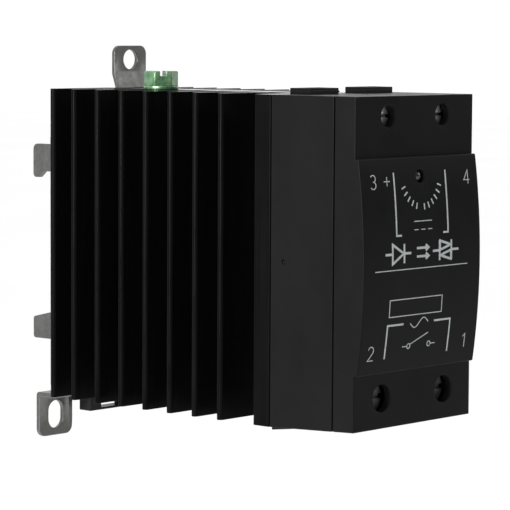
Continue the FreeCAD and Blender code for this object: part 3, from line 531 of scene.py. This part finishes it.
def input_brackets():
    """An upright line on each side, with a short foot that turns inwards."""
    top, bottom, foot = 62.0, 47.1, 1.9
    return [[(x, top), (x, bottom), (x + turn, bottom)] for x, turn in ((-10.2, foot), (9.6, -foot))]


def output_brackets():
    """A leaning line on each side, with a top that turns inwards."""
    top = 25.9
    left = [(-13.0, 18.0), (-12.8, top), (-6.8, top)]
    right = [(5.0, top), (11.3, top), (11.1, 17.9)]
    return [left, right]


def direct_current_sign():
    """A long bar over three short ones."""
    upper, lower = 50.2, 48.2
    long_half, short_half, spacing = 3.4, 0.75, 2.65
    short_bars = [[(x - short_half, lower), (x + short_half, lower)] for x in (-spacing, 0, spacing)]
    return [[(-long_half, upper), (long_half, upper)]] + short_bars


def alternating_current_sign():
    """One period of a wave."""
    middle, height = -0.8, 25.9
    half_length, swing, steps = 3.4, 1.1, 12
    wave = []
    for step in range(-steps, steps + 1):
        rise = swing * math.sin(math.pi * step / steps)
        wave.append((middle + half_length * step / steps, height + rise))
    return [wave]


def contact_sign():
    """An open switch contact: two rings with a lead each, and a raised blade between them."""
    height, ring, lead = 20.4, 0.6, 1.8
    left, right = -4.2, 3.6
    rings = [arc((x, height), ring, 0, 360, steps=14) for x in (left, right)]
    left_lead = [(left - ring - lead, height), (left - ring, height)]
    right_lead = [(right + ring, height), (right + ring + lead, height)]
    blade = [(-3.7, 20.8), (3.0, 23.2)]
    return rings + [left_lead, right_lead, blade]


def relay_diagram():
    """A lamp diode that lights a pair of opposed gates, in one row."""
    diode = [
        [(-14.5, 0), (-11.8, 0)],
        [(-7.4, 0), (-4.8, 0)],
        [(-11.8, -2.3), (-11.8, 2.3), (-7.6, 0), (-11.8, -2.3)],
        [(-7.4, -2.3), (-7.4, 2.3)],
    ]
    gates = [
        [(3.6, 0), (6.2, 0)],
        [(10.8, 0), (13.6, 0)],
        [(6.2, -2.4), (6.2, 2.4)],
        [(10.8, -2.4), (10.8, 2.4)],
        [(6.4, 0.1), (10.6, 1.2), (6.4, 2.3), (6.4, 0.1)],
        [(10.6, -0.1), (6.4, -1.2), (10.6, -2.3), (10.6, -0.1)],
    ]
    arrow = [[(-2.6, 0), (1.9, 0)], [(0.8, 0.7), (1.9, 0), (0.8, -0.7)]]
    light = placed(arrow, 0, -1.0) + placed(arrow, 0, 1.0)
    return placed(diode + gates + light, 0, DIAGRAM_HEIGHT)


def blank_label():
    """An empty outlined box."""
    low, high, left, right = 27.9, 31.9, -12.4, 7.6
    return [[(left, low), (right, low), (right, high), (left, high), (left, low)]]


def dividing_rule():
    """The line between the input's half of the panel and the output's."""
    height = 39.0
    return [[(-18.3, height), (17.2, height)]]


def panel_y(height, lift):
    """Y of the crowned panel at a height, raised outwards by lift; all in mm."""
    drop = NOSE_RADIUS - math.sqrt(NOSE_RADIUS ** 2 - (height - NOSE_MIDDLE) ** 2)
    return SINK_FRONT - (NOSE_EDGE + NOSE_CROWN - drop - PANEL_SET_BACK + lift)


def subdivided(stroke):
    """A stroke's points, with more between them so that its line follows the crown."""
    points = [Vector(stroke[0])]
    for target in stroke[1:]:
        start, target = points[-1], Vector(target)
        count = max(1, math.ceil((target - start).length / INK_STEP))
        points += [start.lerp(target, (index + 1) / count) for index in range(count)]
    return points


def ribbon_sides(points, width):
    """Left and right edge of a line of some width, mitred at its corners."""
    closed = (points[0] - points[-1]).length < CLOSED_GAP
    left, right = [], []
    for index, point in enumerate(points):
        before = points[index - 1] if index else (points[-2] if closed else None)
        after = points[index + 1] if index + 1 < len(points) else (points[1] if closed else None)
        ahead = (after - point).normalized() if after is not None else (point - before).normalized()
        astern = (point - before).normalized() if before is not None else ahead
        mean = (ahead + astern).normalized()
        across = Vector((-mean.y, mean.x)) * (width / 2 / max(MITRE_LIMIT, mean.dot(ahead)))
        left.append(point + across)
        right.append(point - across)
    return left, right


def add_ribbon(shape, stroke, width):
    """One printed line: a thin closed strip that follows the crowned panel."""
    rows = []
    for left, right in zip(*ribbon_sides(subdivided(stroke), width)):
        corners = ((left, INK_LIFT), (right, INK_LIFT), (right, -INK_ROOT), (left, -INK_ROOT))
        row = []
        for corner, lift in corners:
            place = Vector((corner.x, panel_y(corner.y, lift), corner.y + SINK_BOTTOM)) * MM
            row.append(shape.verts.new(place))
        rows.append(row)
    skin(shape, rows)


def print_on_cover():
    """All marks on the crowned panel, as one thin layer of ink."""
    fine = terminal_numbers() + direct_current_sign() + alternating_current_sign()
    fine += contact_sign() + blank_label() + dividing_rule()
    brackets = input_brackets() + output_brackets()
    lines = (
        (fine, FINE_LINE),
        (brackets, BRACKET_LINE),
        (lamp_ticks(), TICK_LINE),
        (relay_diagram(), DIAGRAM_LINE),
    )
    shape = bmesh.new()
    for strokes, width in lines:
        for stroke in strokes:
            add_ribbon(shape, stroke, width)
    piece = add_piece("cover_print", mesh_from(shape, "cover_print"), "black_plastic", "relay_body")
    paint(piece, ink("pale ink"))


def set_panel_back(cover):
    """Moves the crowned panel back a little, to make room for its ink."""
    edge = (SINK_FRONT - NOSE_EDGE + PANEL_MARGIN) * MM
    for vertex in cover.data.vertices:
        if vertex.co.y < edge:
            vertex.co.y += PANEL_SET_BACK * MM


# ================================================================== spring
def latch_spring():
    """Round wire helix between the bracket's lug and the catch."""
    centre = Vector((0, SINK_BACK + SPRING_DEPTH, SINK_BOTTOM))
    up = Vector((0, 0, 1))
    low, high = SPRING_FOOT + WIRE_RADIUS, SPRING_HEAD - WIRE_RADIUS
    steps = SPRING_TURNS * STEPS_PER_TURN
    shape = bmesh.new()
    rows = []
    for step in range(steps + 1):
        angle = 2 * math.pi * step / STEPS_PER_TURN
        outward = Vector((math.cos(angle), math.sin(angle), 0))
        point = centre + outward * SPRING_RADIUS + up * (low + (high - low) * step / steps)
        row = []
        for side in range(WIRE_SIDES):
            turn = 2 * math.pi * side / WIRE_SIDES
            offset = outward * math.cos(turn) + up * math.sin(turn)
            row.append(shape.verts.new((point + offset * WIRE_RADIUS) * MM))
        rows.append(row)
    skin(shape, rows)
    mesh = mesh_from(shape, "latch_spring_wire")
    mesh.shade_smooth()
    piece = add_piece("latch_spring_wire", mesh, "spring_steel", "relay_body")
    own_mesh(piece)
    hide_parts("latch_spring")


# ================================================================== floor, light, camera
def stage_floor():
    """Plain pale floor well below the relay, which hangs on its rail."""
    bpy.ops.mesh.primitive_circle_add(
        vertices=FLOOR_SIDES, radius=FLOOR_RADIUS, fill_type="NGON", location=(0, 0, FLOOR_LEVEL)
    )
    floor = bpy.context.object
    floor.name = "floor"
    shader = Shader("floor paper").fixed(Roughness=0.9, Specular_IOR_Level=0.1)
    shader.colours(shader.noise(2), low=(0.93, 0.93, 0.93), high=(0.95, 0.95, 0.95))
    paint(floor, shader.material)


def add_light(name, kind):
    """A lamp object of some kind in the scene."""
    light = bpy.data.objects.new(name, bpy.data.lights.new(name, kind))
    bpy.context.scene.collection.objects.link(light)
    return light


def area_light(name, direction, distance, width, power, aim):
    """A round soft light that stands in some direction from a point and faces it."""
    light = add_light(name, "AREA")
    light.data.shape = "DISK"
    light.data.size = width
    light.data.energy = power
    light.location = aim + Vector(direction).normalized() * distance
    light.rotation_mode = "QUATERNION"
    light.rotation_quaternion = (light.location - aim).to_track_quat("Z", "Y")


def light_studio(centre):
    """Soft room with one bright wall; the backdrop itself is white from every side."""
    world = bpy.data.worlds.new("studio")
    bpy.context.scene.world = world
    world.use_nodes = True
    tree = world.node_tree
    direction = tree.nodes.new("ShaderNodeTexCoord").outputs["Generated"]
    facing = tree.nodes.new("ShaderNodeVectorMath")
    facing.operation = "DOT_PRODUCT"
    facing.inputs[1].default_value = WHITE_WALL.normalized()
    tree.links.new(direction, facing.inputs[0])
    cosine = facing.outputs["Value"]
    wall = map_range(tree, cosine, WALL_START, WALL_FULL, ROOM_LIGHT, WALL_LIGHT, smooth=True)
    split = tree.nodes.new("ShaderNodeSeparateXYZ")
    tree.links.new(direction, split.inputs["Vector"])
    overhead = map_range(tree, split.outputs["Z"], OVERHEAD_START, OVERHEAD_FULL, high=OVERHEAD_LIGHT)
    room = arithmetic(tree, "ADD", wall, overhead)
    camera_ray = tree.nodes.new("ShaderNodeLightPath").outputs["Is Camera Ray"]
    backdrop = arithmetic(tree, "MAXIMUM", room, camera_ray)
    tree.links.new(backdrop, tree.nodes["Background"].inputs["Strength"])
    tree.nodes["Background"].inputs["Color"].default_value = (1, 1, 1, 1)
    ceiling = add_light("ceiling", "SUN")
    ceiling.data.energy = CEILING_LIGHT
    ceiling.data.angle = math.radians(CEILING_SPREAD)
    for name, settings in AREA_LIGHTS.items():
        area_light(name, *settings, centre)


def place_camera(centre):
    """The photograph's camera, rebuilt from its angles, distance and lens."""
    azimuth = math.radians(CAMERA_AZIMUTH)
    elevation = math.radians(CAMERA_ELEVATION)
    roll = math.radians(CAMERA_ROLL)
    level_back = Vector((math.sin(azimuth), -math.cos(azimuth), 0))
    back = level_back * math.cos(elevation) + Vector((0, 0, math.sin(elevation)))
    level_right = Vector((math.cos(azimuth), math.sin(azimuth), 0))
    level_up = back.cross(level_right)
    right = level_right * math.cos(roll) + level_up * math.sin(roll)
    up = level_up * math.cos(roll) - level_right * math.sin(roll)
    data = bpy.data.cameras.new("camera")
    data.lens = CAMERA_LENS
    data.clip_start = CAMERA_NEAR
    data.clip_end = CAMERA_FAR
    camera = bpy.data.objects.new("camera", data)
    bpy.context.scene.collection.objects.link(camera)
    turn = Matrix((right, up, back)).transposed().to_4x4()
    camera.matrix_world = Matrix.Translation(centre + AIM_OFFSET + back * CAMERA_DISTANCE) @ turn
    bpy.context.scene.camera = camera


# ================================================================== the scene
MATERIALS = make_materials()
for node_name, node_object in NODES.items():
    paint(node_object, MATERIALS[SLOTS[node_name]])

PIECES = {node: rounded_piece(node, radius * MM) for node, radius in ROUNDINGS.items()}
# The terminal screws sit deep in the cover's openings. Their steel is a brighter copy of the bracket
# screws' steel: a plated finish, painted brighter as a highlight so that the screws still show glints
# in their shaded openings.
GLINT_BRIGHTENED_SCREW_STEEL = turned_steel("recessed screw steel painted brighter", (0.9, 0.905, 0.9), 0.3, 0.46)
for screw in TERMINAL_SCREWS:
    paint(PIECES[screw], GLINT_BRIGHTENED_SCREW_STEEL)
set_panel_back(PIECES["front_cover"])
print_on_cover()
latch_spring()

CENTRE = (CAD_BOX[0] + CAD_BOX[1]) / 2
stage_floor()
light_studio(CENTRE)
place_camera(CENTRE)
bpy.context.scene.view_settings.view_transform = "Standard"
